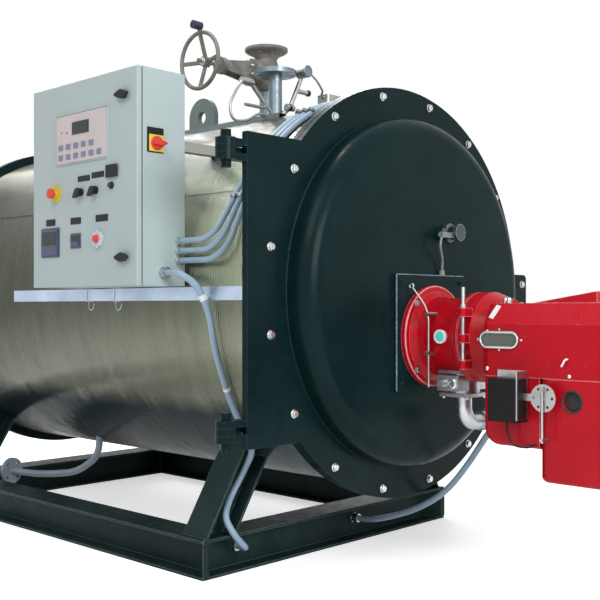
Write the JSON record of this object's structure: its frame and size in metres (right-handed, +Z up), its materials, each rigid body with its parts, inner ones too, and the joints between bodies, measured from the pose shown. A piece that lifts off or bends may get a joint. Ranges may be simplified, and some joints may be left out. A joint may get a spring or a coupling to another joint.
{
  "type": "industrial steam boiler with burner",
  "caption": "Horizontal fire-tube steam boiler on a skid with a hinged dished front door, pressure-jet burner, control cabinet and steam stop valve.",
  "frame": {"origin": "on the floor under the middle of the skid", "axes": "+Y along the drum axis to the rear, +X to the right as seen from the burner, +Z up"},
  "size_m": [1.9913, 3.9203, 2.275],
  "materials": {
    "skid_paint": "satin paint, worn at the edges",
    "cladding": "fine brushed stainless sheet",
    "black_paint": "satin, slightly mottled",
    "furnace_steel": "plain heat-darkened steel",
    "lug_paint": "satin",
    "galvanised": "zinc coated",
    "valve_casting": "rough casting",
    "instrument_steel": "satin",
    "cabinet_paint": "powder coat",
    "switch_plastic": "matte",
    "gland_metal": "nickel",
    "panel_face": "printed membrane",
    "conduit_plastic": "smooth",
    "pipe_steel": "satin",
    "refractory": "cast insulating block",
    "burner_red": "gloss",
    "heat_steel": "heat-tinted",
    "motor_grey": "satin",
    "window_glass": "dull inspection glass in its frame",
    "gas_casting": "cast and turned"
  },
  "bodies": {
    "boiler": {"boiler_shell": "cladding", "cabinet_box": "cabinet_paint", "cabinet_brackets": "galvanised", "cabinet_hinges": "cabinet_paint", "cable_glands": "gland_metal", "cable_trays": "galvanised", "control_conduits": "conduit_plastic", "drain_pipe": "pipe_steel", "fixed_hinge_lugs": "black_paint", "flue_outlet": "black_paint", "front_flange": "black_paint", "front_tube_plate": "black_paint", "furnace_tube": "furnace_steel", "hinge_pins": "black_paint", "leg_front_left": "skid_paint", "leg_front_right": "skid_paint", "leg_rear_left": "skid_paint", "leg_rear_right": "skid_paint", "level_probe": "instrument_steel", "lifting_lug": "lug_paint", "main_switch": "switch_plastic", "mounting_plate": "galvanised", "pressure_branches": "instrument_steel", "rear_cover": "black_paint", "rear_flange": "black_paint", "safety_nozzle": "galvanised", "skid_front_beam": "skid_paint", "skid_rear_beam": "skid_paint", "skid_side_left": "skid_paint", "skid_side_right": "skid_paint", "steam_nozzle": "galvanised", "supply_conduit": "conduit_plastic", "valve_body": "valve_casting", "valve_bonnet": "valve_casting"},
    "front_door": {"door_plate": "black_paint", "door_dome": "black_paint", "door_lining": "refractory", "door_hinge_lugs": "black_paint", "sight_glass": "black_paint", "burner_plate": "black_paint", "burner_head": "burner_red", "blast_tube": "heat_steel", "burner_housing": "burner_red", "burner_hood": "burner_red", "burner_volute": "burner_red", "air_box": "burner_red", "fan_motor": "motor_grey", "gas_port": "gas_casting", "gas_elbow": "gas_casting", "servo_motor": "switch_plastic", "burner_conduit": "conduit_plastic", "throttle_linkage": "instrument_steel", "burner_window": "window_glass", "burner_rods": "instrument_steel"},
    "cabinet_door": {"cabinet_door": "cabinet_paint", "operator_panel": "panel_face", "door_controls": "switch_plastic", "door_instruments": "switch_plastic", "door_latches": "switch_plastic"},
    "handwheel": {"handwheel": "valve_casting"}
  },
  "joints": [
    {"name": "front_door_hinge", "type": "hinge", "parent": "boiler", "child": "front_door", "pos_m": [-0.965, -1.43, 1.09], "axis": [0, 0, -1], "range_deg": [0, 110]},
    {"name": "cabinet_door_hinge", "type": "hinge", "parent": "boiler", "child": "cabinet_door", "pos_m": [-1.01, -0.308, 1.5125], "axis": [0, 0, -1], "range_deg": [0, 120]},
    {"name": "handwheel_turn", "type": "hinge", "parent": "boiler", "child": "handwheel", "pos_m": [-0.405, -0.637, 2.107], "axis": [-1, 0, 0], "range_deg": [0, 1710]}
  ]
}
